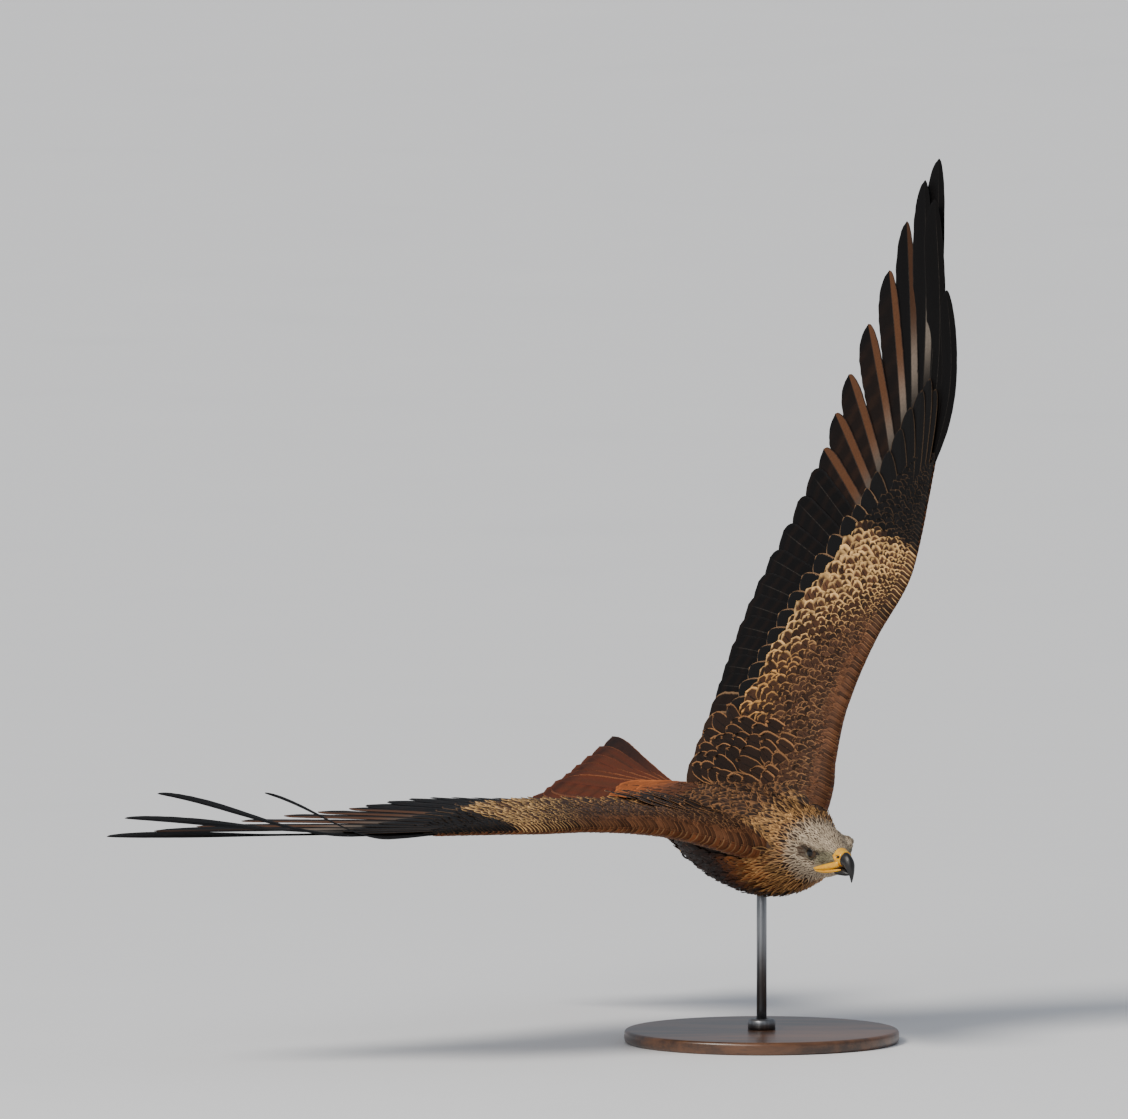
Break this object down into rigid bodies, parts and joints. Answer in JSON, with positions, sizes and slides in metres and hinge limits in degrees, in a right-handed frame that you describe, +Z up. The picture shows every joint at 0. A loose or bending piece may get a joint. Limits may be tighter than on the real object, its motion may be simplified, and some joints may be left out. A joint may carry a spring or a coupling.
{
  "type": "red kite bird model",
  "caption": "Life-size red kite in banking flight, wings raised and fingertips spread, on a round base with a single rod.",
  "frame": {"origin": "centre of the underside of the stand's round base, on the floor", "axes": "+Z up; the bird's bill points mostly along -Y and partly along +X, its right wing reaches along -X and its left wing rises up and along +X"},
  "size_m": [0.9219, 0.7504, 0.9533],
  "materials": {
    "head_feathers": "whitish grey plumage with fine dark streaks",
    "neck_feathers": "buff and rufous plumage with dark streaks",
    "body_feathers": "rufous plumage, dark centred and pale edged on the back",
    "wing_feathers": "black flight feathers under buff edged brown coverts",
    "tail_feathers": "rufous vanes, finely barred, dark at the outer corners",
    "cere_skin": "smooth yellow skin",
    "horn": "polished dark horn",
    "eye": "wet amber iris round a black pupil",
    "leg_skin": "yellow scaled skin with black claws, rufous feathered thigh",
    "stand_wood": "oiled dark walnut",
    "stand_metal": "satin"
  },
  "bodies": {
    "root": {"head": "head_feathers", "neck": "neck_feathers", "torso": "body_feathers", "wing_left": "wing_feathers", "wing_right": "wing_feathers", "tail": "tail_feathers", "cere": "cere_skin", "bill_upper": "horn", "bill_lower": "horn", "eye_left": "eye", "eye_right": "eye", "leg_left": "leg_skin", "leg_right": "leg_skin", "stand_base": "stand_wood", "stand_collar": "stand_metal", "stand_rod": "stand_metal"}
  },
  "joints": []
}
